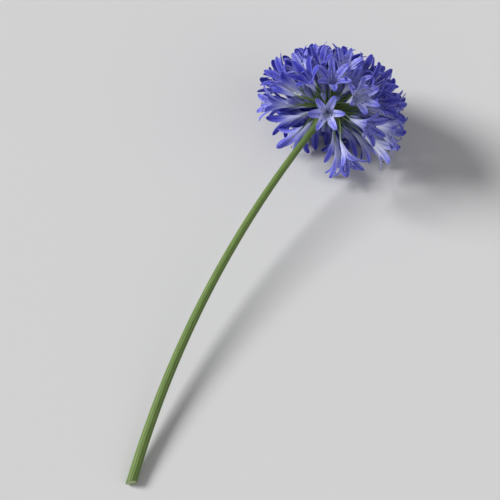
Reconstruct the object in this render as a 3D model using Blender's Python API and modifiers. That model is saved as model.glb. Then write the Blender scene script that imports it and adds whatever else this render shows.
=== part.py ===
"""Agapanthus flower head, as picked: a curved green scape and a round umbel of blue florets.

It lies on its side on a surface, in metres, +Z up. +Y runs along the flower from the cut
end to the head. The origin is on that surface, under the middle of the flower.
Florets are set out by the golden angle round the hub, the middle of the receptacle. Those
that the flower's weight presses down are pushed up until their lowest tip touches the surface.
"""
import math
import random

import bmesh
import bpy
from mathutils import Matrix, Vector

MM = 0.001
NAME = "agapanthus_flower_head"
GAP = 0.3 * MM

# Where the flower lies
HUB = Vector((-2.3, 146.0, 52.0)) * MM

# Scape
SCAPE_LENGTH = 355 * MM
SCAPE_TURN = math.radians(24)
SCAPE_CUT_RADIUS = 4.3 * MM
SCAPE_NECK_RADIUS = 2.7 * MM
SCAPE_END_RADIUS = 3.9 * MM
SCAPE_SWELL_LENGTH = 22 * MM
SCAPE_STATIONS = 16
SCAPE_CROWDING = 1.25
CUT_SLANT = math.radians(24)

# Receptacle
RECEPTACLE_RADIUS = 7.0 * MM
RECEPTACLE_HEIGHT = 6.6 * MM
RECEPTACLE_DEPTH = 8.0 * MM
RECEPTACLE_SIDES = 12

# Umbel
FLORETS = 78
CROWN_SHARE = 0.91
CROWN_ANGLE = math.radians(94)
CROWN_OPENING = 1.05
LOWEST_ANGLE = math.radians(138)
GOLDEN_ANGLE = math.pi * (3 - math.sqrt(5))
SPIRAL_START = math.radians(205)
UMBEL_LEFT = 0.34
UMBEL_DOWN = 0.18
BUD_EVERY = 8
REACH = 36 * MM
FLATTENING = 0.28
DROOP_SHORTER = 6.5 * MM
NOD = math.radians(5)
ANGLE_JITTER = math.radians(3.5)
SIZE_JITTER = 0.08
SEED = 141

# Pedicel
PEDICEL_RADIUS = 0.75 * MM
PEDICEL_SINK = 1.5 * MM
PEDICEL_SPREAD = 0.62
PEDICEL_SEGMENTS = 3
PEDICEL_RISE = 11 * MM
PEDICEL_RUN_IN = 9 * MM

# Floret, from the end of its pedicel
TEPALS = 6
FLORET_BASE_RADIUS = 1.3 * MM
TUBE_LENGTH = 12.5 * MM
TUBE_RADIUS = 4.3 * MM
TEPAL_WIDTH = 5.4 * MM
TEPAL_WIDE_HEIGHT = 20.5 * MM
TEPAL_WIDE_RADIUS = 8.6 * MM
TEPAL_KEEL_HEIGHT = 18.6 * MM
TEPAL_KEEL_RADIUS = 8.7 * MM
TEPAL_TIP_HEIGHT = 27.5 * MM
TEPAL_TIP_RADIUS = 14.5 * MM
THROAT_HEIGHT = 6.0 * MM

# Bud
BUD_SIDES = 6
BUD_LENGTH = 21 * MM
BUD_RADIUS = 2.9 * MM
BUD_SHOULDER = 0.35
BUD_BELLY = 0.72

SCAPE_GREEN = (0.13, 0.22, 0.055, 1.0)
FLORET_BLUE = (0.09, 0.09, 0.47, 1.0)

# The scape bends evenly from the hub to the cut, and slopes down so that the cut end
# touches the surface
BEND_RADIUS = SCAPE_LENGTH / SCAPE_TURN
HUB_HEADING = SCAPE_TURN / 2
CUT_INSET = SCAPE_CUT_RADIUS * math.tan(CUT_SLANT)
SLOPE = math.asin((HUB.z - SCAPE_CUT_RADIUS) / (SCAPE_LENGTH - CUT_INSET))


def clear_scene():
    """Remove every object that the file starts with."""
    for old in list(bpy.data.objects):
        bpy.data.objects.remove(old, do_unlink=True)


def new_collection(name):
    """Return a new collection, linked to the scene."""
    collection = bpy.data.collections.new(name)
    bpy.context.scene.collection.children.link(collection)
    return collection


def new_material(name, color, roughness):
    """Return a Principled material."""
    material = bpy.data.materials.new(name)
    material.use_nodes = True
    surface = material.node_tree.nodes["Principled BSDF"]
    surface.inputs["Base Color"].default_value = color
    surface.inputs["Roughness"].default_value = roughness
    surface.inputs["Metallic"].default_value = 0.0
    material.diffuse_color = color
    return material


def new_object(name, data, collection, material=None):
    """Return a new object for the data, linked to the collection."""
    created = bpy.data.objects.new(name, data)
    collection.objects.link(created)
    if material:
        data.materials.append(material)
    return created


def mesh_from(bm, name):
    """Turn the working mesh into a mesh that faces outwards."""
    bmesh.ops.recalc_face_normals(bm, faces=bm.faces)
    mesh = bpy.data.meshes.new(name)
    bm.to_mesh(mesh)
    bm.free()
    return mesh


def freeze(source, name, collection, material):
    """Replace an object by a plain mesh of its evaluated shape, with its seams welded."""
    bpy.context.view_layer.update()
    graph = bpy.context.evaluated_depsgraph_get()
    mesh = bpy.data.meshes.new_from_object(source.evaluated_get(graph))
    mesh.transform(source.matrix_world)
    bm = bmesh.new()
    bm.from_mesh(mesh)
    bmesh.ops.remove_doubles(bm, verts=bm.verts, dist=0.001 * MM)
    bm.to_mesh(mesh)
    bm.free()
    mesh.materials.clear()
    bpy.data.objects.remove(source, do_unlink=True)
    return new_object(name, mesh, collection, material)


def scape_point(back):
    """Point on the scape's centre line, a distance back from the hub."""
    heading = HUB_HEADING - back / BEND_RADIUS
    x = BEND_RADIUS * (math.cos(HUB_HEADING) - math.cos(heading))
    y = BEND_RADIUS * (math.sin(heading) - math.sin(HUB_HEADING))
    level = math.cos(SLOPE)
    return HUB + Vector((x * level, y * level, -back * math.sin(SLOPE)))


def scape_direction(back):
    """Unit vector along the scape towards the head, a distance back from the hub."""
    heading = HUB_HEADING - back / BEND_RADIUS
    level = math.cos(SLOPE)
    return Vector((math.sin(heading) * level, math.cos(heading) * level, math.sin(SLOPE)))


def scape_radius(back):
    """The scape tapers towards the head and swells just under the receptacle."""
    along = back / SCAPE_LENGTH
    plain = SCAPE_NECK_RADIUS + (SCAPE_CUT_RADIUS - SCAPE_NECK_RADIUS) * along
    swell = max(0.0, 1 - (back - RECEPTACLE_DEPTH) / SCAPE_SWELL_LENGTH)
    return plain + (SCAPE_END_RADIUS - SCAPE_NECK_RADIUS) * swell ** 2


def build_scape(collection, material):
    """The stalk, a tapering tube with a slanted knife cut at its lower end."""
    curve = bpy.data.curves.new("scape_line", "CURVE")
    curve.dimensions = "3D"
    curve.bevel_depth = 1.0
    curve.bevel_resolution = 4
    curve.use_fill_caps = True
    spline = curve.splines.new("POLY")
    spline.points.add(SCAPE_STATIONS - 1)
    for index, point in enumerate(spline.points):
        share = index / (SCAPE_STATIONS - 1)
        back = RECEPTACLE_DEPTH + (SCAPE_LENGTH - RECEPTACLE_DEPTH) * share ** SCAPE_CROWDING
        point.co = (*scape_point(back), 1.0)
        point.radius = scape_radius(back)
    line = new_object("scape_line", curve, collection)
    scape = freeze(line, "scape", collection, material)
    cutter = build_knife()
    cut = scape.modifiers.new("knife_cut", "BOOLEAN")
    cut.operation = "DIFFERENCE"
    cut.solver = "EXACT"
    cut.object = cutter
    scape.data.shade_smooth()
    scape.data.set_sharp_from_angle(angle=math.radians(50))
    return scape


def build_knife():
    """A block whose near face is the slanted cut at the end of the scape."""
    cutters = new_collection("cutters")
    size = 30 * MM
    bm = bmesh.new()
    bmesh.ops.create_cube(bm, size=size)
    bmesh.ops.translate(bm, verts=bm.verts, vec=(0, -size / 2, 0))
    knife = new_object("knife", mesh_from(bm, "knife"), cutters)
    knife.location = scape_point(SCAPE_LENGTH - CUT_INSET)
    heading = HUB_HEADING - SCAPE_LENGTH / BEND_RADIUS
    knife.rotation_euler = (0, 0, -heading + CUT_SLANT)
    knife.hide_render = True
    knife.display_type = "WIRE"
    return knife


def umbel_axis():
    """The umbel faces a little to the left of the scape's line and below it."""
    along = scape_direction(0)
    side = along.cross(Vector((0, 0, 1))).normalized()
    up = side.cross(along)
    return (along - side * UMBEL_LEFT - up * UMBEL_DOWN).normalized()


def umbel_direction(theta, phi):
    """Unit vector from the hub, theta from the umbel's axis and phi round it."""
    axis = umbel_axis()
    side = axis.cross(Vector((0, 0, 1))).normalized()
    up = side.cross(axis)
    across = side * math.cos(phi) + up * math.sin(phi)
    return axis * math.cos(theta) + across * math.sin(theta)


def crown_angle(share):
    """Angle from the axis: dense and even over the crown, sparse below it."""
    if share < CROWN_SHARE:
        along = (share / CROWN_SHARE) ** CROWN_OPENING
        high, low = 1.0, math.cos(CROWN_ANGLE)
    else:
        along = (share - CROWN_SHARE) / (1 - CROWN_SHARE)
        high, low = math.cos(CROWN_ANGLE), math.cos(LOWEST_ANGLE)
    return math.acos(high + (low - high) * along)


def plan_umbel():
    """Set out every floret and bud: its kind, frame, size and the line of its pedicel."""
    rng = random.Random(SEED)
    plan = []
    for index in range(FLORETS):
        share = (index + 0.5) / FLORETS
        theta = crown_angle(share) + rng.uniform(-1, 1) * ANGLE_JITTER
        phi = SPIRAL_START + index * GOLDEN_ANGLE + rng.uniform(-1, 1) * ANGLE_JITTER
        size = 1 + rng.uniform(-1, 1) * SIZE_JITTER
        reach = REACH * (1 + rng.uniform(-1, 1) * SIZE_JITTER)
        reach *= 1 - FLATTENING * max(0.0, math.cos(theta)) ** 2
        roll = rng.uniform(0, math.tau / TEPALS)
        drooping = share > CROWN_SHARE
        if drooping:
            reach -= DROOP_SHORTER
        facing = umbel_direction(theta + NOD * math.sin(theta), phi)
        frame = frame_along(facing, roll)
        frame.translation = HUB + umbel_direction(theta, phi) * reach
        bud = index % BUD_EVERY == BUD_EVERY // 2
        tips = tip_points(bud, size)
        lowest = min((frame @ tip).z for tip in tips)
        frame.translation.z += max(0.0, -lowest)
        root = HUB + umbel_direction(theta * PEDICEL_SPREAD, phi) * (RECEPTACLE_RADIUS - PEDICEL_SINK)
        rise = umbel_direction(theta * PEDICEL_SPREAD, phi) * PEDICEL_RISE
        end = frame.translation.copy()
        plan.append({
            "bud": bud,
            "size": size,
            "frame": frame,
            "line": (root, root + rise, end - facing * PEDICEL_RUN_IN, end),
        })
    return plan


def frame_along(direction, roll):
    """Matrix whose Z is the direction, turned about it by roll."""
    turn = direction.to_track_quat("Z", "Y").to_matrix().to_4x4()
    return turn @ Matrix.Rotation(roll, 4, "Z")


def bezier(line, share):
    """Point on a cubic curve through the line's ends."""
    start, first, second, end = line
    rest = 1 - share
    return (start * rest ** 3 + first * 3 * rest ** 2 * share
            + second * 3 * rest * share ** 2 + end * share ** 3)


def bezier_direction(line, share):
    """Unit tangent of that curve."""
    start, first, second, end = line
    rest = 1 - share
    tangent = ((first - start) * rest ** 2 + (second - first) * 2 * rest * share
               + (end - second) * share ** 2)
    return tangent.normalized()


def around(radius, angle, height, side=0.0):
    """Point at a radius, angle and height, pushed sideways along the ring."""
    x = radius * math.cos(angle) - side * math.sin(angle)
    y = radius * math.sin(angle) + side * math.cos(angle)
    return Vector((x, y, height))


def tip_points(bud, size):
    """The outermost points of a floret or bud, in its own frame."""
    if bud:
        radius, height, turn = BUD_RADIUS, BUD_LENGTH * BUD_BELLY, 0.5
    else:
        radius, height, turn = TEPAL_TIP_RADIUS, TEPAL_TIP_HEIGHT, 0.0
    ring = [around(radius, (i + turn) * math.tau / TEPALS, height) * size for i in range(TEPALS)]
    return ring + [Vector((0, 0, BUD_LENGTH)) * size]


def add_pedicel(bm, line, end_ring, end_frame):
    """Loft a three-sided stalk from the end ring back to its root, and close the root."""
    offsets = [vert.co - end_frame.translation for vert in end_ring]
    ring = end_ring
    last = bezier_direction(line, 1)
    for step in range(1, PEDICEL_SEGMENTS + 1):
        share = 1 - step / PEDICEL_SEGMENTS
        tangent = bezier_direction(line, share)
        turn = last.rotation_difference(tangent)
        offsets = [turn @ offset for offset in offsets]
        centre = bezier(line, share)
        lower = [bm.verts.new(centre + offset.normalized() * PEDICEL_RADIUS) for offset in offsets]
        bridge(bm, ring, lower)
        ring = lower
        last = tangent
    bm.faces.new(ring)


def bridge(bm, upper, lower):
    """Join two rings of as many points with triangles."""
    count = len(upper)
    for index in range(count):
        after = (index + 1) % count
        bm.faces.new((upper[index], upper[after], lower[index]))
        bm.faces.new((upper[after], lower[after], lower[index]))


def loft_from_three(bm, base, ring):
    """Join three base points to a larger ring whose first point stands over the first."""
    per_base = len(ring) // len(base)
    for index, corner in enumerate(ring):
        turned = index + per_base // 2
        foot = base[turned // per_base % len(base)]
        bm.faces.new((corner, ring[(index + 1) % len(ring)], foot))
        if turned % per_base == 0:
            bm.faces.new((base[turned // per_base - 1], corner, foot))


def add_floret(bm, frame, size):
    """An open funnel of six tepals, closed at its throat. Returns the ring at its base."""
    def vert(point):
        return bm.verts.new(frame @ (point * size))

    step = math.tau / TEPALS
    half = TEPAL_WIDTH / 2
    valleys = [vert(around(TUBE_RADIUS, (i + 0.5) * step, TUBE_LENGTH)) for i in range(TEPALS)]
    right = [vert(around(TEPAL_WIDE_RADIUS, i * step, TEPAL_WIDE_HEIGHT, -half)) for i in range(TEPALS)]
    left = [vert(around(TEPAL_WIDE_RADIUS, i * step, TEPAL_WIDE_HEIGHT, half)) for i in range(TEPALS)]
    tips = [vert(around(TEPAL_TIP_RADIUS, i * step, TEPAL_TIP_HEIGHT)) for i in range(TEPALS)]
    keels = [vert(around(TEPAL_KEEL_RADIUS, i * step, TEPAL_KEEL_HEIGHT)) for i in range(TEPALS)]
    throat = vert(Vector((0, 0, THROAT_HEIGHT)))
    base = [vert(around(FLORET_BASE_RADIUS, (i + 0.5) * step, 0)) for i in range(0, TEPALS, 2)]
    for i in range(TEPALS):
        before = valleys[i - 1]
        after = valleys[i]
        edge = (before, right[i], tips[i], left[i], after)
        for start, end in zip(edge, edge[1:]):
            bm.faces.new((keels[i], start, end))
        bm.faces.new((right[i], left[i], tips[i]))
        bm.faces.new((before, after, right[i]))
        bm.faces.new((after, left[i], right[i]))
        bm.faces.new((throat, after, before))
    rim = [corner for pair in zip(valleys, keels[1:] + keels[:1]) for corner in pair]
    loft_from_three(bm, base, rim)
    return base


def build_receptacle(collection, material):
    """The swollen top of the scape: a turned profile, flat underneath."""
    profile = [
        (0.0, RECEPTACLE_HEIGHT),
        (0.62 * RECEPTACLE_RADIUS, 0.75 * RECEPTACLE_HEIGHT),
        (0.98 * RECEPTACLE_RADIUS, 0.15 * RECEPTACLE_HEIGHT),
        (0.80 * RECEPTACLE_RADIUS, -0.55 * RECEPTACLE_DEPTH),
        (SCAPE_END_RADIUS, GAP - RECEPTACLE_DEPTH),
        (0.0, GAP - RECEPTACLE_DEPTH),
    ]
    bm = bmesh.new()
    points = [bm.verts.new((radius, 0, height)) for radius, height in profile]
    for start, end in zip(points, points[1:]):
        bm.edges.new((start, end))
    mesh = bpy.data.meshes.new("receptacle")
    bm.to_mesh(mesh)
    bm.free()
    receptacle = new_object("receptacle", mesh, collection, material)
    receptacle.matrix_world = Matrix.Translation(HUB) @ frame_along(scape_direction(0), 0)
    turned = receptacle.modifiers.new("turned", "SCREW")
    turned.steps = RECEPTACLE_SIDES
    turned.render_steps = RECEPTACLE_SIDES
    turned.use_merge_vertices = True
    turned.merge_threshold = 0.00001
    return receptacle


def add_bud(bm, frame, size):
    """A closed club-shaped bud. Returns the ring at its base."""
    step = math.tau / BUD_SIDES

    def ring(radius, height):
        return [bm.verts.new(frame @ (around(radius, (i + 0.5) * step, height) * size))
                for i in range(BUD_SIDES)]

    base = [bm.verts.new(frame @ (around(FLORET_BASE_RADIUS, (i + 0.5) * step, 0) * size))
            for i in range(0, BUD_SIDES, 2)]
    shoulder = ring(0.75 * BUD_RADIUS, BUD_SHOULDER * BUD_LENGTH)
    belly = ring(BUD_RADIUS, BUD_BELLY * BUD_LENGTH)
    tip = bm.verts.new(frame @ Vector((0, 0, BUD_LENGTH * size)))
    loft_from_three(bm, base, shoulder)
    bridge(bm, belly, shoulder)
    for i in range(BUD_SIDES):
        bm.faces.new((tip, belly[i], belly[(i + 1) % BUD_SIDES]))
    return base


def build_umbel(collection, material):
    """Receptacle, pedicels, florets and buds, joined into one body."""
    joined = new_collection("joined")
    for index, item in enumerate(plan_umbel()):
        bm = bmesh.new()
        if item["bud"]:
            base = add_bud(bm, item["frame"], item["size"])
        else:
            base = add_floret(bm, item["frame"], item["size"])
        add_pedicel(bm, item["line"], base, item["frame"])
        new_object(f"floret_{index}", mesh_from(bm, f"floret_{index}"), joined)
    receptacle = build_receptacle(collection, material)
    union = receptacle.modifiers.new("union", "BOOLEAN")
    union.operation = "UNION"
    union.operand_type = "COLLECTION"
    union.collection = joined
    union.solver = "MANIFOLD"
    umbel = freeze(receptacle, "umbel", collection, material)
    for used in list(joined.objects):
        bpy.data.objects.remove(used, do_unlink=True)
    bpy.data.collections.remove(joined)
    return umbel


def main():
    """Build the flower."""
    clear_scene()
    flower = new_collection(NAME)
    green = new_material("scape_green", SCAPE_GREEN, 0.5)
    blue = new_material("floret_blue", FLORET_BLUE, 0.6)
    build_scape(flower, green)
    build_umbel(flower, blue)


main()
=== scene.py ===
"""Agapanthus flower head, as picked: the finished surface of a curved green scape and its umbel.

Metres, +Z up, lying on the surface z = 0 with +Y running from the cut end to the head.
The florets are set out by the same rule as the solids, so each fine floret lies on its own.
"""
import math
import random

import bmesh
import bpy
from bpy.props import FloatProperty, FloatVectorProperty, IntProperty, PointerProperty
from mathutils import Matrix, Vector


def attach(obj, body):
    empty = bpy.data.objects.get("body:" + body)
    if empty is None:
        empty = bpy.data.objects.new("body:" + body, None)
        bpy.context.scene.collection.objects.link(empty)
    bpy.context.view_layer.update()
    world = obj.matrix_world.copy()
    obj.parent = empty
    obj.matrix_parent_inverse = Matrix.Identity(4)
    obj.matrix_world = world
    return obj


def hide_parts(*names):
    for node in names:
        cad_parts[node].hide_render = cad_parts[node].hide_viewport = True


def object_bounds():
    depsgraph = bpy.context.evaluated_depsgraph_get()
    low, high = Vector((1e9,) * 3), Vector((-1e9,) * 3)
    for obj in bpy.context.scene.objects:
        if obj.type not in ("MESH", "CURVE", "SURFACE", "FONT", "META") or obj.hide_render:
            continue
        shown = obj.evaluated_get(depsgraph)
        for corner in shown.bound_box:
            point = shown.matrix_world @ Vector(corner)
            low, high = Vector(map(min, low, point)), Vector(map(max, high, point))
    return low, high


bl_info = {
    "name": "Agapanthus Flower Head",
    "version": (1, 0, 0),
    "blender": (4, 5, 0),
    "location": "3D View > Sidebar > Flower",
    "description": "Builds the finished surface of a picked agapanthus flower",
    "category": "Add Mesh",
}

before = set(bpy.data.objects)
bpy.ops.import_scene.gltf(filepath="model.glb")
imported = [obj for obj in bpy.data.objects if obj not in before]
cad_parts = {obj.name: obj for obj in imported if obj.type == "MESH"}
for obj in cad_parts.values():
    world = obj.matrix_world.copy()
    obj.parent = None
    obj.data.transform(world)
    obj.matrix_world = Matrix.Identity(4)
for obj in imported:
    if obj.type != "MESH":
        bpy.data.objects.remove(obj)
SOLID_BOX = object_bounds()

MM = 0.001
UP = Vector((0, 0, 1))

# Height that no point goes below, just off the surface
SURFACE = 0.1 * MM

# Where the flower lies, and its scape
HUB = Vector((-2.3, 146.0, 52.0)) * MM
SCAPE_LENGTH = 355 * MM
SCAPE_TURN = math.radians(24)
SCAPE_CUT_RADIUS = 4.3 * MM
SCAPE_NECK_RADIUS = 2.7 * MM
SCAPE_END_RADIUS = 3.9 * MM
SCAPE_SWELL_LENGTH = 22 * MM
CUT_SLANT = math.radians(24)
RECEPTACLE_RADIUS = 7.0 * MM
RECEPTACLE_HEIGHT = 6.6 * MM
RECEPTACLE_DEPTH = 8.0 * MM

# How the florets are set out
FLORETS = 78
CROWN_SHARE = 0.91
CROWN_ANGLE = math.radians(94)
CROWN_OPENING = 1.05
LOWEST_ANGLE = math.radians(138)
GOLDEN_ANGLE = math.pi * (3 - math.sqrt(5))
SPIRAL_START = math.radians(205)
UMBEL_LEFT = 0.34
UMBEL_DOWN = 0.18
BUD_EVERY = 8
REACH = 36 * MM
FLATTENING = 0.28
DROOP_SHORTER = 6.5 * MM
NOD = math.radians(5)
ANGLE_JITTER = math.radians(3.5)
SIZE_JITTER = 0.08
SEED = 141
PEDICEL_SINK = 1.5 * MM
PEDICEL_SPREAD = 0.62
PEDICEL_RISE = 11 * MM
PEDICEL_RUN_IN = 9 * MM
TEPALS = 6
TEPAL_TIP_HEIGHT = 27.5 * MM
TEPAL_TIP_RADIUS = 14.5 * MM
BUD_LENGTH = 21 * MM
BUD_RADIUS = 2.9 * MM
BUD_BELLY = 0.72

# Worked out from those
BEND_RADIUS = SCAPE_LENGTH / SCAPE_TURN
HUB_HEADING = SCAPE_TURN / 2
CUT_INSET = SCAPE_CUT_RADIUS * math.tan(CUT_SLANT)
SLOPE = math.asin((HUB.z - SCAPE_CUT_RADIUS) / (SCAPE_LENGTH - CUT_INSET))

# The cut: how much each ring shrinks from the last and rises, and its mark
CUT_RINGS = (
    (0.95, 0.07 * MM, 0.28),
    (0.94, -0.05 * MM, 0.45),
    (0.92, -0.10 * MM, 0.58),
    (0.76, -0.03 * MM, 0.68),
    (0.60, 0.05 * MM, 0.84),
)

# How deep the fine relief of the materials looks
BUMP_DEPTH = 0.2 * MM

# The scape's mesh
SIDES_PER_RIDGE = 8
SCAPE_RINGS = 72

# The receptacle's outline, as shares of its radius and of its height or depth, and its scar
RECEPTACLE_TOP = ((0.0, 1.0), (0.34, 0.95), (0.64, 0.76), (0.88, 0.45), (0.99, 0.10))
RECEPTACLE_FOOT = (
    (0.95, 0.28), (0.82, 0.52), (0.74, 0.64), (0.74, 0.68), (0.72, 0.72), (0.66, 0.76),
)
RECEPTACLE_STEPS = 32
SCAR_DEPTH = 0.70
SCAR_EDGE = (0.02, 0.08)

# Tepals: their tube and lean, the outline of the blade, and how it bends
DETAIL_SEED = 5
TUBE_FOOT_RADIUS = 0.85 * MM
TUBE_FOOT_DEPTH = 1.6 * MM
TUBE_SHARE = 0.40
TUBE_OVERLAP = 1.08
LEAN_CURVE = 1.8
FLARES = (0.84, 1.12)
FLARE_FACTORS = (0.93, 1.07)
WIDTH_FACTORS = (0.94, 1.06)
TEPAL_SWING = 0.05
BLADE_OPENS = (TUBE_SHARE - 0.05, TUBE_SHARE + 0.25)
BLADE_WIDENED = 0.55
BLADE_ROUNDED = 0.50
BLADE_BLUNTNESS = 2.2
BLADE_END = 0.008
BLADE_BEND = 8.5 * MM
INNER_OFFSET = -0.12 * MM
OUTER_OFFSET = 0.16 * MM
KEEL = 0.28 * MM
WAVE = 0.45 * MM
WAVE_TURN = 9
TEPAL_TWIST = 0.25
TEPAL_COLUMNS = 4
TEPAL_ROWS = 10
TIP_CROWDING = 1.8

# Buds: neck and ribs as shares of their radius, and how bluntly they close
BUD_NECK = 0.72
BUD_RIB = 0.07
BUD_BLUNTNESS = 0.72

# Stamens and styles: where they stand at the foot and spread to, and an anther's shape
FILAMENT_FOOT = 2.3 * MM
FILAMENT_SPREAD = 5.2 * MM
SPREAD_FACTORS = (0.8, 1.2)
REACH_FACTORS = (0.90, 1.04)
FILAMENT_SWING = 0.2
FILAMENT_TAPER = 0.35
STYLE_FOOT = 0.3 * MM
STYLE_SPREAD = 1.2 * MM
STYLE_REACH = 0.92
ANTHER_WIDTH = 0.24
ANTHER_LEAN = 0.5

# How florets fade: most of the crown is deep in colour, and the lowest opened first and have
# faded. Painted light is laid over this: painted shade keeps those that face down deeper,
# and those that face one side are paler as painted light
CROWN_DEPTH = 2.1
LATE_ANGLE = math.radians(84)
EARLY_ANGLE = math.radians(116)
PAINTED_SHADE_TINT = 0.5
PAINTED_LIGHT_SIDE = Vector((0.96, -0.12, -0.26))
PAINTED_LIGHT_EDGE = (0.52, 0.95)

# Young buds, which stand lower in the gaps between the florets
YOUNG_BUDS = 34
YOUNG_ANGLE = math.radians(98)
YOUNG_TRIES = 14
YOUNG_HEIGHTS = (15 * MM, 24 * MM)
YOUNG_SIZES = (0.50, 0.78)
YOUNG_EASE = 0.4
YOUNG_THIN = 0.72

# Mark on their pedicels, which stay green to the end
GREEN_TO_THE_END = -1.0

# Half the width of the floor
FLOOR_HALF = 4

# Where the lights shine from: to the right in the picture, away from the camera, and up
KEY_FROM = (-0.95, 0.25, 0.75)
FILL_FROM = (1.1, -0.6, 0.9)


def length_value(name, description, default):
    """A length that the panel shows in the scene's units."""
    return FloatProperty(
        name=name, description=description, default=default, subtype="DISTANCE", unit="LENGTH")


def angle_value(name, description, degrees):
    """An angle that the panel shows in degrees."""
    default = math.radians(degrees)
    return FloatProperty(name=name, description=description, default=default, subtype="ANGLE")


def plain_value(name, description, default):
    """A plain number."""
    return FloatProperty(name=name, description=description, default=default)


def color_value(name, description, default):
    """A colour that the panel shows as a swatch."""
    return FloatVectorProperty(
        name=name, description=description, default=default, subtype="COLOR")


class FlowerTepals(bpy.types.PropertyGroup):
    """Sizes and colours of the tepals."""

    length: length_value(
        "Length", "Along a tepal, from the base of the tube to the tip", 33.4 * MM)
    outer_width: length_value("Outer Width", "Widest part of the three outer tepals", 5.6 * MM)
    inner_width: length_value("Inner Width", "Widest part of the three inner tepals", 6.8 * MM)
    thickness: length_value("Thickness", "Thickness of a tepal", 0.32 * MM)
    base_lean: angle_value("Base Lean", "Lean of the tube from the floret's own axis", 10)
    tip_lean: angle_value("Tip Lean", "Lean of the tips from the floret's own axis", 68)
    blade: color_value("Blade", "Colour of the open part", (0.087, 0.091, 0.58))
    deep: color_value("Deep", "Open part of the deepest florets", (0.078, 0.074, 0.49))
    light: color_value(
        "Light", "Open part of the palest florets, and veins of the buds", (0.245, 0.252, 0.77))
    margin: color_value("Margin", "Colour of the thin edges", (0.33, 0.35, 0.88))
    tube: color_value("Tube", "Colour towards the base of the deeper florets", (0.46, 0.48, 0.84))
    throat: color_value(
        "Throat", "Colour towards the base of the faded florets", (0.72, 0.75, 0.96))
    foot: color_value("Foot", "Colour where a floret stands on its pedicel", (0.44, 0.50, 0.66))
    stripe: color_value(
        "Stripe", "Colour of the stripes, the tips and the buds' seams", (0.028, 0.030, 0.33))
    roughness: plain_value("Roughness", "Roughness of tepals and buds", 0.5)


class FlowerBuds(bpy.types.PropertyGroup):
    """Colours of the young buds."""

    dark: color_value("Dark", "Middle of the darkest young buds", (0.13, 0.12, 0.42))
    pale: color_value("Pale", "Middle of the palest young buds", (0.22, 0.24, 0.50))
    base: color_value("Base", "Base of the young buds", (0.16, 0.25, 0.10))
    tip: color_value("Tip", "Tip of the young buds", (0.10, 0.17, 0.12))


class FlowerStalks(bpy.types.PropertyGroup):
    """Sizes and colours of the scape, the receptacle and the pedicels."""

    ridges: IntProperty(name="Ridges", description="Faint ridges round the scape", default=11)
    ridge_depth: plain_value("Ridge Depth", "Height of the ridges as a share of the radius", 0.017)
    pedicel_radius: length_value("Pedicel Radius", "Radius of a floret's stalk", 0.72 * MM)
    green: color_value("Green", "Colour of the green parts", (0.172, 0.264, 0.050))
    deep_green: color_value("Deep Green", "Darker colour of the green parts", (0.070, 0.128, 0.024))
    bloom: color_value("Bloom", "Colour of the pale waxy flecks", (0.290, 0.400, 0.130))
    lilac: color_value("Lilac", "Colour of the upper part of a pedicel", (0.24, 0.22, 0.42))
    scar: color_value("Scar", "Colour of the dry ring under the receptacle", (0.30, 0.25, 0.11))
    cut_face: color_value("Cut Face", "Colour of the wet pith where it is cut", (0.50, 0.58, 0.30))


class FlowerStamens(bpy.types.PropertyGroup):
    """Sizes and colours of the filaments, anthers and styles."""

    filament_radius: length_value("Filament Radius", "Radius of a filament at its foot", 0.26 * MM)
    filament_reach: length_value(
        "Filament Reach", "Height of the anthers above the base of the floret", 25 * MM)
    anther_length: length_value("Anther Length", "Length of an anther", 2.0 * MM)
    filament: color_value("Filament", "Colour of filaments and styles", (0.50, 0.50, 0.82))
    filament_foot: color_value(
        "Filament Foot", "Colour of filaments and styles low down", (0.62, 0.64, 0.88))
    anther: color_value("Anther", "Colour of the anthers", (0.030, 0.026, 0.11))
    pollen: color_value("Pollen", "Colour of the pollen on the anthers", (0.30, 0.21, 0.07))


class FlowerStage(bpy.types.PropertyGroup):
    """The floor, the lights and the camera."""

    floor: color_value("Floor", "Colour of the floor", (0.615, 0.615, 0.62))
    turn: angle_value("Turn", "How far the camera stands round to the right of the cut end", 27)
    elevation: angle_value("Elevation", "Height of the camera above the surface, as an angle", 64)
    distance: length_value("Distance", "From the camera to the flower", 1.6)
    lens: plain_value("Lens", "Focal length in millimetres", 143.0)
    key_strength: plain_value("Key Strength", "Strength of the key light", 3.45)
    key_softness: angle_value("Key Softness", "Width of the key light as seen from the flower", 23)
    fill_strength: plain_value("Fill Strength", "Strength of the fill light", 0.55)
    fill_softness: angle_value(
        "Fill Softness", "Width of the fill light as seen from the flower", 60)
    room: plain_value("Room", "Strength of the light from all round", 0.26)


class FlowerValues(bpy.types.PropertyGroup):
    """All the values that the panel shows."""

    tepals: PointerProperty(type=FlowerTepals)
    buds: PointerProperty(type=FlowerBuds)
    stalks: PointerProperty(type=FlowerStalks)
    stamens: PointerProperty(type=FlowerStamens)
    stage: PointerProperty(type=FlowerStage)


def scape_point(back):
    """Point on the scape's centre line, a distance back from the hub."""
    heading = HUB_HEADING - back / BEND_RADIUS
    x = BEND_RADIUS * (math.cos(HUB_HEADING) - math.cos(heading))
    y = BEND_RADIUS * (math.sin(heading) - math.sin(HUB_HEADING))
    level = math.cos(SLOPE)
    return HUB + Vector((x * level, y * level, -back * math.sin(SLOPE)))


def scape_direction(back):
    """Unit vector along the scape towards the head, a distance back from the hub."""
    heading = HUB_HEADING - back / BEND_RADIUS
    level = math.cos(SLOPE)
    return Vector((math.sin(heading) * level, math.cos(heading) * level, math.sin(SLOPE)))


def scape_radius(back):
    """The scape tapers towards the head and swells just under the receptacle."""
    along = back / SCAPE_LENGTH
    plain = SCAPE_NECK_RADIUS + (SCAPE_CUT_RADIUS - SCAPE_NECK_RADIUS) * along
    swell = max(0.0, 1 - (back - RECEPTACLE_DEPTH) / SCAPE_SWELL_LENGTH)
    return plain + (SCAPE_END_RADIUS - SCAPE_NECK_RADIUS) * swell ** 2


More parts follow.
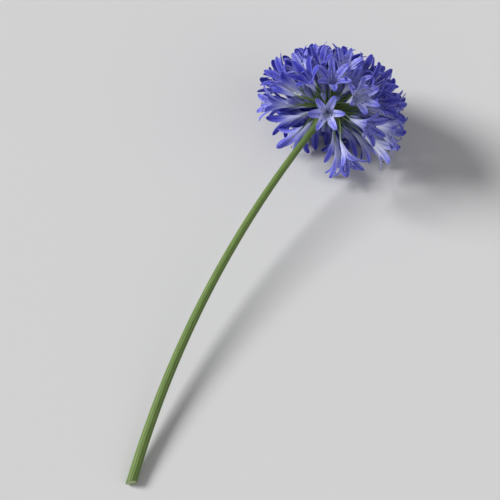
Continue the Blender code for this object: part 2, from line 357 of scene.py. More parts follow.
def umbel_axis():
    """The umbel faces a little to the left of the scape's line and below it."""
    along = scape_direction(0)
    side = along.cross(UP).normalized()
    up = side.cross(along)
    return (along - side * UMBEL_LEFT - up * UMBEL_DOWN).normalized()


def umbel_direction(theta, phi):
    """Unit vector from the hub, theta from the umbel's axis and phi round it."""
    axis = umbel_axis()
    side = axis.cross(UP).normalized()
    up = side.cross(axis)
    across = side * math.cos(phi) + up * math.sin(phi)
    return axis * math.cos(theta) + across * math.sin(theta)


def crown_angle(share):
    """Angle from the axis: dense and even over the crown, sparse below it."""
    if share < CROWN_SHARE:
        along = (share / CROWN_SHARE) ** CROWN_OPENING
        high, low = 1.0, math.cos(CROWN_ANGLE)
    else:
        along = (share - CROWN_SHARE) / (1 - CROWN_SHARE)
        high, low = math.cos(CROWN_ANGLE), math.cos(LOWEST_ANGLE)
    return math.acos(high + (low - high) * along)


def frame_along(direction, roll):
    """Matrix whose Z is the direction, turned about it by roll."""
    turn = direction.to_track_quat("Z", "Y").to_matrix().to_4x4()
    return turn @ Matrix.Rotation(roll, 4, "Z")


def around(radius, angle, height):
    """Point at a radius, angle and height."""
    return Vector((radius * math.cos(angle), radius * math.sin(angle), height))


def tip_points(bud, size):
    """The outermost points of a floret or bud, in its own frame."""
    if bud:
        radius, height, turn = BUD_RADIUS, BUD_LENGTH * BUD_BELLY, 0.5
    else:
        radius, height, turn = TEPAL_TIP_RADIUS, TEPAL_TIP_HEIGHT, 0.0
    ring = [around(radius, (i + turn) * math.tau / TEPALS, height) * size for i in range(TEPALS)]
    return ring + [Vector((0, 0, BUD_LENGTH)) * size]


def plan_umbel():
    """Set out every floret and bud: its kind, frame, size and the line of its pedicel."""
    rng = random.Random(SEED)
    detail = random.Random(DETAIL_SEED)
    plan = []
    for index in range(FLORETS):
        share = (index + 0.5) / FLORETS
        theta = crown_angle(share) + rng.uniform(-1, 1) * ANGLE_JITTER
        phi = SPIRAL_START + index * GOLDEN_ANGLE + rng.uniform(-1, 1) * ANGLE_JITTER
        size = 1 + rng.uniform(-1, 1) * SIZE_JITTER
        reach = REACH * (1 + rng.uniform(-1, 1) * SIZE_JITTER)
        reach *= 1 - FLATTENING * max(0.0, math.cos(theta)) ** 2
        roll = rng.uniform(0, math.tau / TEPALS)
        if share > CROWN_SHARE:
            reach -= DROOP_SHORTER
        facing = umbel_direction(theta + NOD * math.sin(theta), phi)
        place = frame_along(facing, roll)
        place.translation = HUB + umbel_direction(theta, phi) * reach
        bud = index % BUD_EVERY == BUD_EVERY // 2
        lowest = min((place @ tip).z for tip in tip_points(bud, size))
        place.translation.z += max(0.0, -lowest)
        plan.append({
            "bud": bud,
            "size": size,
            "place": place,
            "line": pedicel_line(theta, phi, facing, place.translation.copy()),
            "flare": detail.uniform(*FLARES),
            "tint": floret_fade_and_painted_light(theta, facing, detail.random()),
            "droop": place.to_3x3().inverted() @ -scape_direction(0),
        })
    return plan


def floret_fade_and_painted_light(theta, facing, chance):
    """How far a floret has faded, from 0 for the deepest in colour to 1 for the palest.

    The low florets are paler by age. Painted light is laid over that: florets that face up are
    paler, those that face down are deeper as painted shade, and those that face one side are
    paler as painted light.
    """
    # Painted light and shade: florets facing up may fade fully, those facing down keep deeper
    # colour
    lowest = blend_between(PAINTED_SHADE_TINT, 1.0, (facing.z + 1) / 2)
    tint = blend_between(chance ** CROWN_DEPTH, lowest, smoothstep(LATE_ANGLE, EARLY_ANGLE, theta))
    # Painted light: florets facing one side are made paler
    return max(tint, smoothstep(*PAINTED_LIGHT_EDGE, facing.dot(PAINTED_LIGHT_SIDE)))


def pedicel_line(theta, phi, facing, end, ease=1.0):
    """Curve of a pedicel, which leaves the receptacle steeply and runs in behind its floret."""
    rising = umbel_direction(theta * PEDICEL_SPREAD, phi)
    root = HUB + rising * (RECEPTACLE_RADIUS - PEDICEL_SINK)
    return (root, root + rising * PEDICEL_RISE * ease, end - facing * PEDICEL_RUN_IN * ease, end)


def plan_young_buds():
    """Set the young buds one by one where there is most room left between their neighbours."""
    rng = random.Random(DETAIL_SEED + 2)
    taken = [(item["place"].translation - HUB).normalized() for item in plan_umbel()]
    plan = []
    for _ in range(YOUNG_BUDS):
        tries = [(math.acos(rng.uniform(math.cos(YOUNG_ANGLE), 1)), rng.uniform(0, math.tau))
                 for _ in range(YOUNG_TRIES)]
        theta, phi = max(tries, key=lambda pair: room_round(umbel_direction(*pair), taken))
        facing = umbel_direction(theta, phi)
        taken.append(facing)
        size = rng.uniform(*YOUNG_SIZES)
        place = frame_along(facing, rng.uniform(0, math.tau))
        place.translation = HUB + facing * rng.uniform(*YOUNG_HEIGHTS)
        plan.append({
            "bud": True,
            "size": size,
            "place": place,
            "line": pedicel_line(theta, phi, facing, place.translation.copy(), YOUNG_EASE),
            "tint": rng.random(),
        })
    return plan


def room_round(direction, taken):
    """Angle from a direction to the nearest one that is taken."""
    return min(direction.angle(other) for other in taken)


def bezier(line, share):
    """Point on a cubic curve through the line's ends."""
    start, first, second, end = line
    rest = 1 - share
    return (start * rest ** 3 + first * 3 * rest ** 2 * share
            + second * 3 * rest * share ** 2 + end * share ** 3)


def bezier_direction(line, share):
    """Unit tangent of that curve."""
    start, first, second, end = line
    rest = 1 - share
    tangent = ((first - start) * rest ** 2 + (second - first) * 2 * rest * share
               + (end - second) * share ** 2)
    return tangent.normalized()


def smoothstep(low, high, value):
    """Rise smoothly from 0 at low to 1 at high."""
    share = min(1.0, max(0.0, (value - low) / (high - low)))
    return share * share * (3 - 2 * share)


def blend_between(first, second, share):
    """Value part of the way from the first to the second."""
    return first + (second - first) * share


def towards_tip(share):
    """Even steps along a tepal or bud, made to crowd where its tip rounds in."""
    return 1 - (1 - share) ** TIP_CROWDING


def rod_template(sides, rings):
    """A capped rod of radius 1 along Z from 0 to 1, with even rings to bend it by."""
    bm = bmesh.new()
    bmesh.ops.create_cone(bm, cap_ends=True, segments=sides, radius1=1, radius2=1, depth=1)
    bmesh.ops.translate(bm, verts=bm.verts, vec=(0, 0, 0.5))
    rising = [edge for edge in bm.edges if abs(edge.verts[0].co.z - edge.verts[1].co.z) > 0.5]
    bmesh.ops.subdivide_edges(bm, edges=rising, cuts=rings - 1)
    return template_mesh(bm, "rod")


def sheet_template(columns, rows):
    """A flat sheet, across from -1 to 1 and along from 0 to 1."""
    bm = bmesh.new()
    bmesh.ops.create_grid(bm, x_segments=columns, y_segments=rows, size=1)
    bmesh.ops.translate(bm, verts=bm.verts, vec=(0, 1, 0))
    bmesh.ops.scale(bm, verts=bm.verts, vec=(1, 0.5, 1))
    return template_mesh(bm, "sheet")


def template_mesh(bm, name):
    """Keep a working mesh as a template for stamping."""
    bmesh.ops.recalc_face_normals(bm, faces=bm.faces)
    return mesh_from(bm, name)


def mesh_from(bm, name):
    """Turn a working mesh into one that an object can have."""
    mesh = bpy.data.meshes.new(name)
    bm.to_mesh(mesh)
    bm.free()
    return mesh


def add_object(name, data):
    """Put a new object into the scene."""
    made = bpy.data.objects.new(name, data)
    bpy.context.scene.collection.objects.link(made)
    return made


class Piece:
    """One object in the making, stamped from templates and marked for its material."""

    def __init__(self, name):
        self.name = name
        self.bm = bmesh.new()
        self.across = self.bm.verts.layers.float.new("across")
        self.along = self.bm.verts.layers.float.new("along")
        self.tint = self.bm.verts.layers.float.new("tint")
        self.unbent = self.bm.verts.layers.float_vector.new("unbent")

    def stamp(self, template, shape, tint=0.0, flat=False, ribs=0):
        """Add the template with each point moved by the shape function.

        A flat template is marked across by its X and along by its Y. A rod is marked across
        by the rise and fall of its ribs, and along by its Z.
        """
        first = len(self.bm.verts)
        self.bm.from_mesh(template)
        self.bm.verts.ensure_lookup_table()
        for vert in self.bm.verts[first:]:
            place = vert.co.copy()
            if flat:
                vert[self.across] = place.x
                vert[self.along] = place.y
            else:
                vert[self.across] = math.cos(ribs * math.atan2(place.y, place.x))
                vert[self.along] = place.z
            vert[self.tint] = tint
            vert[self.unbent] = place
            vert.co = shape(place)

    def finish(self, material, stands_for, slot, thickness=0.0, crease=50):
        """Give sheets their wall, keep points off the surface and hang the piece on the flower."""
        bm = self.bm
        if thickness:
            bm.normal_update()
            bmesh.ops.solidify(bm, geom=bm.faces[:], thickness=thickness)
        for vert in bm.verts:
            vert.co.z = max(vert.co.z, SURFACE)
        mesh = mesh_from(bm, self.name)
        mesh.materials.append(material)
        mesh.shade_smooth()
        mesh.set_sharp_from_angle(angle=math.radians(crease))
        piece = add_object(self.name, mesh)
        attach(piece, "root")
        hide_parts(stands_for)


def along_bezier(line, radius_at):
    """Shape function that bends a rod along a cubic curve."""
    across = bezier_direction(line, 0.5).orthogonal()

    def shape(place):
        tangent = bezier_direction(line, place.z)
        side = (across - tangent * across.dot(tangent)).normalized()
        other = tangent.cross(side)
        radius = radius_at(place.z)
        return bezier(line, place.z) + (side * place.x + other * place.y) * radius

    return shape


class Wire:
    """A shader value that takes part in Python sums and products."""

    def __init__(self, shader, socket):
        self.shader = shader
        self.socket = socket

    def sum(self, operation, first, second=0.0):
        """Add one Math node."""
        return self.shader.node("ShaderNodeMath", {"operation": operation}, {0: first, 1: second})

    def __add__(self, other):
        return self.sum("ADD", self, other)

    def __radd__(self, other):
        return self.sum("ADD", other, self)

    def __sub__(self, other):
        return self.sum("SUBTRACT", self, other)

    def __rsub__(self, other):
        return self.sum("SUBTRACT", other, self)

    def __mul__(self, other):
        return self.sum("MULTIPLY", self, other)

    def __rmul__(self, other):
        return self.sum("MULTIPLY", other, self)

    def __pow__(self, other):
        return self.sum("POWER", self, other)

    def __abs__(self):
        return self.sum("ABSOLUTE", self)


class Shader:
    """One material and the nodes that make it."""

    def __init__(self, name):
        self.material = bpy.data.materials.new(name)
        self.material.use_nodes = True
        self.nodes = self.material.node_tree.nodes
        self.links = self.material.node_tree.links
        self.surface = self.nodes["Principled BSDF"]

    def feed(self, socket, value):
        """Link a wire to a socket, or set the socket's own value."""
        if isinstance(value, Wire):
            self.links.new(value.socket, socket)
        elif hasattr(value, "__len__") and len(value) == 3 and len(socket.default_value) == 4:
            socket.default_value = (*value, 1.0)
        else:
            socket.default_value = value

    def node(self, kind, settings, sockets, output=0):
        """Add a node: first its settings, then the value or link of its sockets."""
        made = self.nodes.new(kind)
        for name, value in settings.items():
            setattr(made, name, value)
        for key, value in sockets.items():
            self.feed(made.inputs[key], value)
        return Wire(self, made.outputs[output])

    def attribute(self, name):
        """A mark left on the mesh's points."""
        return self.node("ShaderNodeAttribute", {"attribute_name": name}, {}, "Fac")

    def unbent(self, scale):
        """The point's place on its template before that was bent, times a scale each way."""
        marked = self.node("ShaderNodeAttribute", {"attribute_name": "unbent"}, {}, "Vector")
        return self.node("ShaderNodeVectorMath", {"operation": "MULTIPLY"}, {0: marked, 1: scale})

    def position(self):
        """Object coordinates."""
        return self.node("ShaderNodeTexCoord", {}, {}, "Object")

    def noise(self, scale, detail=3.0, vector=None):
        """A noise value around 0.5."""
        sockets = {"Scale": scale, "Detail": detail}
        sockets["Vector"] = vector if vector else self.position()
        return self.node("ShaderNodeTexNoise", {}, sockets, "Fac")

    def step(self, value, low, high):
        """Rise smoothly from 0 at low to 1 at high."""
        sockets = {"Value": value, "From Min": low, "From Max": high}
        return self.node("ShaderNodeMapRange", {"interpolation_type": "SMOOTHSTEP"}, sockets)

    def mix(self, factor, first, second):
        """Mix two colours."""
        sockets = {0: factor, 6: first, 7: second}
        return self.node("ShaderNodeMix", {"data_type": "RGBA"}, sockets, 2)

    def dots(self, scale, size):
        """Round spots scattered over a surface, 1 at their middles."""
        near = self.node(
            "ShaderNodeTexVoronoi", {}, {"Vector": self.position(), "Scale": scale}, "Distance")
        return 1 - self.step(near, 0.6 * size, size)

    def finish(self, color, roughness, height=None, strength=0.3, **constants):
        """Feed the surface. Constants are Principled sockets, named with _ for a space."""
        self.feed(self.surface.inputs["Base Color"], color)
        self.feed(self.surface.inputs["Roughness"], roughness)
        if height:
            sockets = {"Strength": strength, "Distance": BUMP_DEPTH, "Height": height}
            bump = self.node("ShaderNodeBump", {}, sockets)
            self.feed(self.surface.inputs["Normal"], bump)
        for name, value in constants.items():
            self.feed(self.surface.inputs[name.replace("_", " ")], value)
        return self.material


def tepal_material(values):
    """Pale towards the throat, violet-blue above, with a dark stripe and fine veins."""
    shader = Shader("tepal")
    along = towards_tip(shader.attribute("along"))
    signed = shader.attribute("across")
    across = abs(signed)
    tint = shader.attribute("tint")
    blotch = shader.noise(240.0)
    blade = shader.mix(shader.step(tint, 0.35, 1.0), values.blade, values.light)
    blade = shader.mix(1 - shader.step(tint, 0.0, 0.30), blade, values.deep)
    blade = shader.mix(shader.step(across, 0.45, 1.0) * 0.35, blade, values.margin)
    faded = shader.step(tint, 0.65, 1.0)
    opened = shader.step(along + (blotch - 0.5) * 0.18 - faded * 0.20, 0.20, 0.76)
    base = shader.mix(faded, values.tube, values.throat)
    color = shader.mix(opened, base, blade)
    stripe = (1 - shader.step(across, 0.03, 0.34)) * shader.step(along, 0.26, 0.60)
    color = shader.mix(stripe * (0.85 - faded * 0.35), color, values.stripe)
    veins = shader.node("ShaderNodeMath", {"operation": "SINE"}, {0: signed * 26.0})
    color = shader.mix((veins * 0.5 + 0.5) * opened * 0.20, color, values.stripe)
    color = shader.mix(shader.step(along, 0.86, 1.0) * 0.45, color, values.stripe)
    color = shader.mix((1 - shader.step(along, 0.0, 0.16)) * 0.7, color, values.foot)
    height = veins * 0.35 + blotch
    return shader.finish(
        color, values.roughness, height, strength=0.35,
        Subsurface_Weight=0.55, Subsurface_Radius=(0.7, 0.7, 1.0), Subsurface_Scale=1.2 * MM,
        Specular_IOR_Level=0.35, Sheen_Weight=0.05)


def scape_material(values):
    """Waxy green with pale ridges, long streaks and fine flecks, and a wet pith where it is cut.

    The mark for tint is 0 on the skin, and on the cut rises from its rim to its middle.
    """
    shader = Shader("scape")
    ridge = shader.attribute("across")
    along = shader.attribute("along")
    cut = shader.attribute("tint")
    streaks = shader.noise(5.0, 4.0, shader.unbent((2.2, 2.2, 7.0)))
    flecks = shader.noise(5.0, 3.0, shader.unbent((9.0, 9.0, 90.0)))
    shade = shader.step(ridge * 0.15 + streaks + (flecks - 0.5) * 0.35, 0.24, 0.82)
    color = shader.mix(shade, values.deep_green, values.green)
    color = shader.mix(shader.step(flecks, 0.62, 0.80) * 0.45, color, values.bloom)
    # Painted shade: the scape turns darker just under the head, where the head shades it
    color = shader.mix(shader.step(along, 0.84, 0.99) * 0.55, color, values.deep_green)
    fibres = shader.noise(2600.0, 2.0)
    bundles = shader.dots(1900.0, 0.30) * (1 - shader.step(cut, 0.70, 0.95))
    pith = shader.mix(shader.step(cut, 0.40, 0.62), values.green, values.cut_face)
    pith = shader.mix(fibres * 0.35, pith, values.bloom)
    pith = shader.mix(bundles * 0.60, pith, values.green)
    inside = shader.step(cut, 0.20, 0.45)
    color = shader.mix(inside, color, pith)
    height = (ridge * 0.2 + streaks + flecks * 0.5) * (1 - inside) + (bundles + fibres) * inside
    return shader.finish(
        color, 0.44 + flecks * 0.14 - inside * 0.12, height, strength=0.25,
        Specular_IOR_Level=0.4, Coat_Weight=0.04)


def receptacle_material(values):
    """Green knob with a dry tan ring where the bracts came away."""
    shader = Shader("receptacle")
    patches = shader.noise(160.0, 2.0)
    grain = shader.noise(1800.0, 3.0)
    scar = shader.step(shader.attribute("tint") + (grain - 0.5) * 0.9, 0.40, 0.80)
    shade = shader.step(patches + (grain - 0.5) * 0.5, 0.15, 0.75)
    color = shader.mix(shade, values.deep_green, values.green)
    color = shader.mix(scar * 0.75, color, values.scar)
    return shader.finish(color, 0.50 + scar * 0.25, grain + scar)


def pedicel_material(values, foot):
    """Green at the hub, turning lilac where an open floret or grown bud begins."""
    shader = Shader("pedicel")
    along = shader.attribute("along")
    grown = shader.step(shader.attribute("tint"), GREEN_TO_THE_END, 0.0)
    streaks = shader.noise(5.0, 3.0, shader.unbent((1.4, 1.4, 2.2)))
    shade = shader.step(streaks + (along - 0.5) * 0.3, 0.25, 0.80)
    color = shader.mix(shade, values.deep_green, values.green)
    color = shader.mix(shader.step(along, 0.45, 0.95) * grown * 0.35, color, values.lilac)
    color = shader.mix(shader.step(along, 0.80, 1.0) * grown * 0.8, color, foot)
    return shader.finish(color, 0.46, streaks, strength=0.2)


def bud_material(values):
    """Deep violet-blue, paler at the base, with a darker seam between the tepals."""
    shader = Shader("bud")
    along = towards_tip(shader.attribute("along"))
    color = shader.mix(shader.step(along, 0.05, 0.60), values.tube, values.blade)
    color = shader.mix(shader.step(along, 0.5, 1.0) * 0.5, color, values.stripe)
    return seam_and_vein(shader, color, values, 0.3)


def young_bud_material(values, young):
    """Green at both ends and dull lilac between, with a darker seam between the tepals."""
    shader = Shader("young_bud")
    along = towards_tip(shader.attribute("along"))
    body = shader.mix(shader.attribute("tint"), young.dark, young.pale)
    color = shader.mix(shader.step(along, 0.0, 0.55), young.base, body)
    color = shader.mix(shader.step(along, 0.72, 1.0) * 0.6, color, young.tip)
    return seam_and_vein(shader, color, values, 0.25)


def seam_and_vein(shader, color, values, paleness):
    """Finish either kind of bud with dark seams between its tepals and pale veins."""
    seams = shader.step(shader.attribute("across"), 0.2, 1.0)
    veins = shader.noise(5.0, 2.0, shader.unbent((5.0, 5.0, 0.5)))
    color = shader.mix(seams * 0.4, color, values.stripe)
    color = shader.mix(shader.step(veins, 0.5, 0.7) * paleness, color, values.light)
    return shader.finish(color, values.roughness, veins)


def filament_material(values):
    """Pale lilac threads."""
    shader = Shader("filament")
    along = shader.attribute("along")
    color = shader.mix(shader.step(along, 0.2, 1.0), values.filament_foot, values.filament)
    return shader.finish(color, 0.5, Subsurface_Weight=0.2, Subsurface_Scale=0.5 * MM)


def anther_material(values):
    """Dark anthers dusted with ochre pollen."""
    shader = Shader("anther")
    grains = shader.step(shader.noise(2600.0, 2.0), 0.54, 0.64)
    color = shader.mix(grains * 0.5, values.anther, values.pollen)
    return shader.finish(color, 0.7, grains, strength=0.5)


class FLOWER_OT_scape(bpy.types.Operator):
    """Build the scape with its faint ridges and the slanted knife cut"""

    bl_idname = "flower.scape"
    bl_label = "Build Scape"

    def execute(self, context):
        values = context.scene.flower.stalks
        piece = Piece("scape_skin")

        def shape(place):
            back = blend_between(SCAPE_LENGTH, RECEPTACLE_DEPTH, place.z)
            direction = scape_direction(back)
            side = UP.cross(direction).normalized()
            other = direction.cross(side)
            ridge = math.cos(values.ridges * math.atan2(place.y, place.x)) - 1
            radius = scape_radius(back) * (1 + values.ridge_depth * ridge)
            edge = Vector((place.x, place.y, 0)).length
            return scape_point(back) + (side * place.x + other * place.y) * radius * min(edge, 1.0)

        rod = rod_template(SIDES_PER_RIDGE * values.ridges, SCAPE_RINGS)
        piece.stamp(rod, shape, ribs=values.ridges)
        cut_scape(piece)
        piece.finish(scape_material(values), "scape", "scape", crease=60)
        return {"FINISHED"}


def cut_scape(piece):
    """Slice the lower end off at a slant, and leave a low rim and a slightly sunken pith."""
    bm = piece.bm
    middle = scape_point(SCAPE_LENGTH - CUT_INSET)
    heading = HUB_HEADING - SCAPE_LENGTH / BEND_RADIUS - CUT_SLANT
    facing = Vector((math.sin(heading), math.cos(heading), 0))
    everything = bm.verts[:] + bm.edges[:] + bm.faces[:]
    cut = bmesh.ops.bisect_plane(
        bm, geom=everything, plane_co=middle, plane_no=facing, clear_inner=True)
    edges = [item for item in cut["geom_cut"] if isinstance(item, bmesh.types.BMEdge)]
    face = bmesh.ops.edgeloop_fill(bm, edges=edges)["faces"][0]
    for shrink, rise, mark in CUT_RINGS:
        grown = bmesh.ops.extrude_face_region(bm, geom=[face])["geom"]
        bmesh.ops.delete(bm, geom=[face], context="FACES_ONLY")
        face = [item for item in grown if isinstance(item, bmesh.types.BMFace)][0]
        points = face.verts[:]
        bmesh.ops.scale(
            bm, vec=Vector.Fill(3, shrink), space=Matrix.Translation(-middle), verts=points)
        bmesh.ops.translate(bm, vec=-facing * rise, verts=points)
        for vert in points:
            vert[piece.tint] = mark
    centre = bmesh.ops.poke(bm, faces=[face])["verts"][0]
    centre[piece.tint] = 1.0


class FLOWER_OT_receptacle(bpy.types.Operator):
    """Build the swollen top of the scape that carries the pedicels"""

    bl_idname = "flower.receptacle"
    bl_label = "Build Receptacle"

    def execute(self, context):
        values = context.scene.flower.stalks
        piece = Piece("receptacle")
        profile = [(wide * RECEPTACLE_RADIUS, high * RECEPTACLE_HEIGHT)
                   for wide, high in RECEPTACLE_TOP]
        profile += [(wide * RECEPTACLE_RADIUS, -low * RECEPTACLE_DEPTH)
                    for wide, low in RECEPTACLE_FOOT]
        profile += [
            (SCAPE_END_RADIUS * 1.04, -0.90 * RECEPTACLE_DEPTH),
            (SCAPE_END_RADIUS, -RECEPTACLE_DEPTH),
            (0.0, -RECEPTACLE_DEPTH),
        ]
        points = [piece.bm.verts.new((radius, 0, height)) for radius, height in profile]
        edges = [piece.bm.edges.new(pair) for pair in zip(points, points[1:])]
        bmesh.ops.spin(
            piece.bm, geom=points + edges, axis=(0, 0, 1), angle=math.tau,
            steps=RECEPTACLE_STEPS, use_merge=True)
        bmesh.ops.remove_doubles(piece.bm, verts=piece.bm.verts, dist=0.01 * MM)
        bmesh.ops.recalc_face_normals(piece.bm, faces=piece.bm.faces)
        for vert in piece.bm.verts:
            off_scar = abs(vert.co.z / RECEPTACLE_DEPTH + SCAR_DEPTH)
            vert[piece.tint] = 1 - smoothstep(*SCAR_EDGE, off_scar)
        place = Matrix.Translation(HUB) @ frame_along(scape_direction(0), 0)
        bmesh.ops.transform(piece.bm, matrix=place, verts=piece.bm.verts)
        piece.finish(receptacle_material(values), "umbel", "umbel", crease=60)
        return {"FINISHED"}


class FLOWER_OT_pedicels(bpy.types.Operator):
    """Build one curved stalk for each floret and bud"""

    bl_idname = "flower.pedicels"
    bl_label = "Build Pedicels"

    def execute(self, context):
        values = context.scene.flower.stalks
        foot = context.scene.flower.tepals.foot
        piece = Piece("pedicels")
        template = rod_template(8, 10)

        def radius_at(share):
            swell = smoothstep(0.80, 1.0, share)
            return blend_between(values.pedicel_radius, TUBE_FOOT_RADIUS, swell)

        def young_radius_at(share):
            return radius_at(share) * YOUNG_THIN

        for item in plan_umbel():
            piece.stamp(template, along_bezier(item["line"], radius_at), item["tint"])
        for item in plan_young_buds():
            piece.stamp(template, along_bezier(item["line"], young_radius_at), GREEN_TO_THE_END)
        piece.finish(pedicel_material(values, foot), "umbel", "umbel")
        return {"FINISHED"}


def funnel_line(values, flare):
    """Radius, height and lean of a tepal's middle line, from the floret's base to its tip."""
    radius = TUBE_FOOT_RADIUS
    height = -TUBE_FOOT_DEPTH
    stations = []
    for row in range(TEPAL_ROWS + 1):
        share = towards_tip(row / TEPAL_ROWS)
        lean = flare * blend_between(values.base_lean, values.tip_lean, share ** LEAN_CURVE)
        stations.append((radius, height, lean))
        step = values.length * (towards_tip(min(1.0, (row + 1) / TEPAL_ROWS)) - share)
        radius += step * math.sin(lean)
        height += step * math.cos(lean)
    return stations


def tepal_half_width(share, tube_radius, widest):
    """Half the width of a tepal: a sixth of the tube below, a blunt oblong blade above."""
    joined = tube_radius * math.pi / TEPALS * TUBE_OVERLAP
    if share <= TUBE_SHARE:
        return joined
    blade = (share - TUBE_SHARE) / (1 - TUBE_SHARE)
    width = blend_between(joined, widest / 2, smoothstep(0.0, BLADE_WIDENED, blade))
    rounding = max(0.0, (blade - BLADE_ROUNDED) / (1 - BLADE_ROUNDED))
    return width * math.sqrt(max(BLADE_END, 1 - rounding ** BLADE_BLUNTNESS))


def tepal_shape(item, index, values, detail):
    """Shape function that bends a sheet into one tepal of a floret."""
    inner = index % 2
    flare = item["flare"] * detail.uniform(*FLARE_FACTORS)
    line = funnel_line(values, flare)
    widest = values.inner_width if inner else values.outer_width
    widest *= detail.uniform(*WIDTH_FACTORS)
    angle = index * math.tau / TEPALS + detail.uniform(-TEPAL_SWING, TEPAL_SWING)
    wave = detail.uniform(0, math.tau)
    twist = detail.uniform(-TEPAL_TWIST, TEPAL_TWIST)
    offset = INNER_OFFSET if inner else OUTER_OFFSET
    turn = Matrix.Rotation(angle, 4, "Z")
    place = item["place"] @ Matrix.Scale(item["size"], 4) @ turn

    def shape(point):
        across, share = point.x, towards_tip(point.y)
        radius, height, lean = line[round(point.y * TEPAL_ROWS)]
        opened = smoothstep(*BLADE_OPENS, share)
        half = tepal_half_width(share, radius, widest)
        sideways = across * half
        full = opened * min(1.0, 2 * half / widest)
        bend = blend_between(radius, BLADE_BEND, opened)
        swing = sideways / bend
        outward = Vector((math.cos(lean), 0, -math.sin(lean)))
        push = offset - bend * (1 - math.cos(swing))
        push += KEEL * full * (1 - abs(across)) * (-1 if inner else 1)
        push += WAVE * full * across * across * math.sin(wave + share * WAVE_TURN)
        push += twist * sideways * opened * share
        middle = Vector((radius, 0, height))
        return place @ (middle + outward * push + Vector((0, bend * math.sin(swing), 0)))

    return shape


class FLOWER_OT_tepals(bpy.types.Operator):
    """Build the six tepals of each open floret, the outer and the inner three apart"""

    bl_idname = "flower.tepals"
    bl_label = "Build Tepals"

    def execute(self, context):
        values = context.scene.flower.tepals
        detail = random.Random(DETAIL_SEED)
        rings = (Piece("tepals_outer"), Piece("tepals_inner"))
        template = sheet_template(TEPAL_COLUMNS, TEPAL_ROWS)
        for item in plan_umbel():
            if item["bud"]:
                continue
            for index in range(TEPALS):
                shape = tepal_shape(item, index, values, detail)
                rings[index % 2].stamp(template, shape, item["tint"], flat=True)
        material = tepal_material(values)
        for piece in rings:
            piece.finish(material, "umbel", "umbel", values.thickness, crease=55)
        return {"FINISHED"}


class FLOWER_OT_buds(bpy.types.Operator):
    """Build the closed buds, and the young ones that stand lower in the head"""

    bl_idname = "flower.buds"
    bl_label = "Build Buds"

    def execute(self, context):
        values = context.scene.flower.tepals
        young_values = context.scene.flower.buds
        grown = Piece("buds")
        young = Piece("young_buds")
        closed = rod_template(4 * TEPALS, 16)
        small = rod_template(3 * TEPALS, 12)
        for item in plan_umbel():
            if item["bud"]:
                grown.stamp(closed, bud_shape(item), item["tint"], ribs=TEPALS)
        for item in plan_young_buds():
            young.stamp(small, bud_shape(item), item["tint"], ribs=TEPALS)
        grown.finish(bud_material(values), "umbel", "umbel")
        young.finish(young_bud_material(values, young_values), "umbel", "umbel")
        return {"FINISHED"}


def bud_shape(item):
    """Shape function that swells a rod into a six-ribbed club that closes to a blunt point.

    The rings of the rod crowd towards the point, where the bud rounds in most.
    """
    place = item["place"] @ Matrix.Scale(item["size"], 4)

    def shape(point):
        share = towards_tip(point.z)
        neck = blend_between(TUBE_FOOT_RADIUS, BUD_NECK * BUD_RADIUS, smoothstep(0, 0.4, share))
        radius = blend_between(neck, BUD_RADIUS, smoothstep(0.3, BUD_BELLY, share))
        closing = max(0.0, (share - BUD_BELLY) / (1 - BUD_BELLY))
        radius *= max(0.001, 1 - closing ** 2) ** BUD_BLUNTNESS
        angle = math.atan2(point.y, point.x)
        rib = 1 + BUD_RIB * math.cos(TEPALS * angle) * smoothstep(0.1, 0.5, share)
        return place @ Vector((point.x * radius * rib, point.y * radius * rib, share * BUD_LENGTH))

    return shape


def thread_line(item, angle, foot, spread, reach):
    """Curve of a filament or style, which all lean towards the lower side of the floret."""
    place = item["place"] @ Matrix.Scale(item["size"], 4)
    droop = Vector((item["droop"].x, item["droop"].y, 0))
    points = (
        around(foot, angle, 0.30 * reach),
        around(foot * 1.1, angle, 0.60 * reach) + droop * 0.4 * MM,
        around(0.75 * spread, angle, 0.85 * reach) + droop * 2.6 * MM,
        around(spread, angle, reach) + droop * 2.2 * MM,
    )
    return tuple(place @ point for point in points)


class FLOWER_OT_stamens(bpy.types.Operator):
    """Build six filaments with their anthers and one style in each open floret"""

    bl_idname = "flower.stamens"
    bl_label = "Build Stamens"

    def execute(self, context):
        values = context.scene.flower.stamens
        detail = random.Random(DETAIL_SEED + 1)
        threads = Piece("filaments")
        anthers = Piece("anthers")
        styles = Piece("styles")
        rod = rod_template(4, 5)
        grain = rod_template(6, 4)

        def filament_radius(share):
            return values.filament_radius * (1 - FILAMENT_TAPER * share)

        for item in plan_umbel():
            if item["bud"]:
                continue
            for index in range(TEPALS):
                swing = detail.uniform(-FILAMENT_SWING, FILAMENT_SWING)
                angle = (index + swing) * math.tau / TEPALS
                reach = values.filament_reach * detail.uniform(*REACH_FACTORS)
                spread = FILAMENT_SPREAD * detail.uniform(*SPREAD_FACTORS)
                line = thread_line(item, angle, FILAMENT_FOOT, spread, reach)
                threads.stamp(rod, along_bezier(line, filament_radius), item["tint"])
                anthers.stamp(grain, anther_shape(line, values.anther_length, detail), item["tint"])
            reach = values.filament_reach * STYLE_REACH
            line = thread_line(item, 0, STYLE_FOOT, STYLE_SPREAD, reach)
            styles.stamp(rod, along_bezier(line, filament_radius), item["tint"])
        threads.finish(filament_material(values), "umbel", "umbel")
        styles.finish(filament_material(values), "umbel", "umbel")
        anthers.finish(anther_material(values), "umbel", "umbel")
        return {"FINISHED"}


def anther_shape(line, length, detail):
    """Shape function that makes a rod an anther lying across the end of its filament."""
    tip = line[3]
    along = bezier_direction(line, 1)
    swing = along.orthogonal().normalized()
    swing.rotate(Matrix.Rotation(detail.uniform(0, math.tau), 3, along))
    lying = (along * ANTHER_LEAN + swing).normalized()
    place = frame_along(lying, 0)
    place.translation = tip

    def shape(point):
        bulge = math.sqrt(max(0.02, 1 - (2 * point.z - 1) ** 2))
        width = ANTHER_WIDTH * length * bulge
        return place @ Vector((point.x * width, point.y * width, (point.z - 0.5) * length))

    return shape


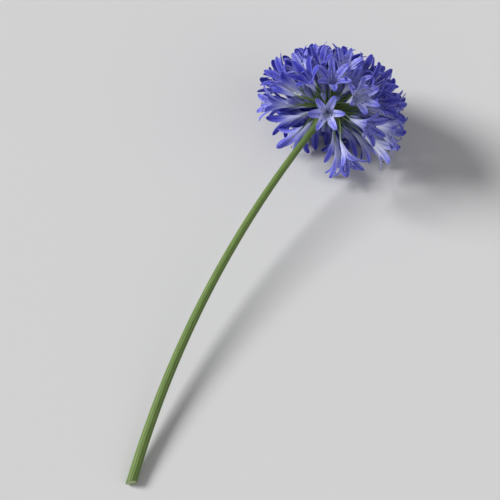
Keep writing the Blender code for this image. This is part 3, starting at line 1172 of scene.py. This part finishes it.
class FLOWER_OT_stage(bpy.types.Operator):
    """Set the pale floor, the soft lights and the camera"""

    bl_idname = "flower.stage"
    bl_label = "Set Stage"

    def execute(self, context):
        values = context.scene.flower.stage
        low, high = SOLID_BOX
        middle = (Vector(low) + Vector(high)) / 2
        looking = Vector((-math.sin(values.turn), math.cos(values.turn), 0))
        right = Vector((math.cos(values.turn), math.sin(values.turn), 0))
        set_floor(values)
        add_camera(values, middle, looking)
        for name, source, softness, strength in (
                ("key", KEY_FROM, values.key_softness, values.key_strength),
                ("fill", FILL_FROM, values.fill_softness, values.fill_strength)):
            away = right * source[0] + looking * source[1] + UP * source[2]
            add_light(name, away, softness, strength)
        world = bpy.data.worlds.new("soft_room")
        world.use_nodes = True
        sky = world.node_tree.nodes["Background"]
        sky.inputs["Color"].default_value = (1.0, 1.0, 1.0, 1.0)
        sky.inputs["Strength"].default_value = values.room
        context.scene.world = world
        context.scene.view_settings.view_transform = "Standard"
        return {"FINISHED"}


def set_floor(values):
    """A wide plain floor just under the flower."""
    bm = bmesh.new()
    bmesh.ops.create_grid(bm, x_segments=1, y_segments=1, size=FLOOR_HALF)
    mesh = mesh_from(bm, "floor")
    mesh.materials.append(Shader("floor").finish(values.floor, 0.85))
    floor = add_object("floor", mesh)


def add_camera(values, middle, looking):
    """Look down on the flower from beside its cut end."""
    camera = bpy.data.cameras.new("camera")
    camera.lens = values.lens
    holder = add_object("camera", camera)
    away = UP * math.sin(values.elevation) - looking * math.cos(values.elevation)
    holder.location = middle + away * values.distance
    holder.rotation_euler = away.to_track_quat("Z", "Y").to_euler()
    bpy.context.scene.camera = holder


def add_light(name, source, softness, strength):
    """A far soft light that shines from one direction and lights the whole floor evenly."""
    light = bpy.data.lights.new(name, "SUN")
    light.angle = softness
    light.energy = strength
    holder = add_object(name, light)
    holder.location = source
    holder.rotation_euler = source.to_track_quat("Z", "Y").to_euler()


class FLOWER_PT_panel(bpy.types.Panel):
    """The flower's steps and values"""

    bl_label = "Agapanthus Flower"
    bl_idname = "FLOWER_PT_panel"
    bl_space_type = "VIEW_3D"
    bl_region_type = "UI"
    bl_category = "Flower"

    def draw(self, context):
        for operator in STEPS:
            self.layout.operator(operator.bl_idname)
        values = context.scene.flower
        for group in (values.tepals, values.buds, values.stalks, values.stamens, values.stage):
            box = self.layout.box()
            for value in group.__annotations__:
                box.prop(group, value)


STEPS = (
    FLOWER_OT_stage,
    FLOWER_OT_scape,
    FLOWER_OT_receptacle,
    FLOWER_OT_pedicels,
    FLOWER_OT_tepals,
    FLOWER_OT_buds,
    FLOWER_OT_stamens,
)
CLASSES = (
    FlowerTepals, FlowerBuds, FlowerStalks, FlowerStamens, FlowerStage, FlowerValues,
    *STEPS, FLOWER_PT_panel,
)


def register():
    """Register the classes and hang the values on the scene."""
    for kind in CLASSES:
        bpy.utils.register_class(kind)
    bpy.types.Scene.flower = PointerProperty(type=FlowerValues)


def unregister():
    """Take the values and the classes away again."""
    del bpy.types.Scene.flower
    for kind in reversed(CLASSES):
        bpy.utils.unregister_class(kind)


def main():
    """Build every piece."""
    register()
    bpy.ops.flower.stage()
    bpy.ops.flower.scape()
    bpy.ops.flower.receptacle()
    bpy.ops.flower.pedicels()
    bpy.ops.flower.tepals()
    bpy.ops.flower.buds()
    bpy.ops.flower.stamens()


if __name__ == "__main__":
    main()
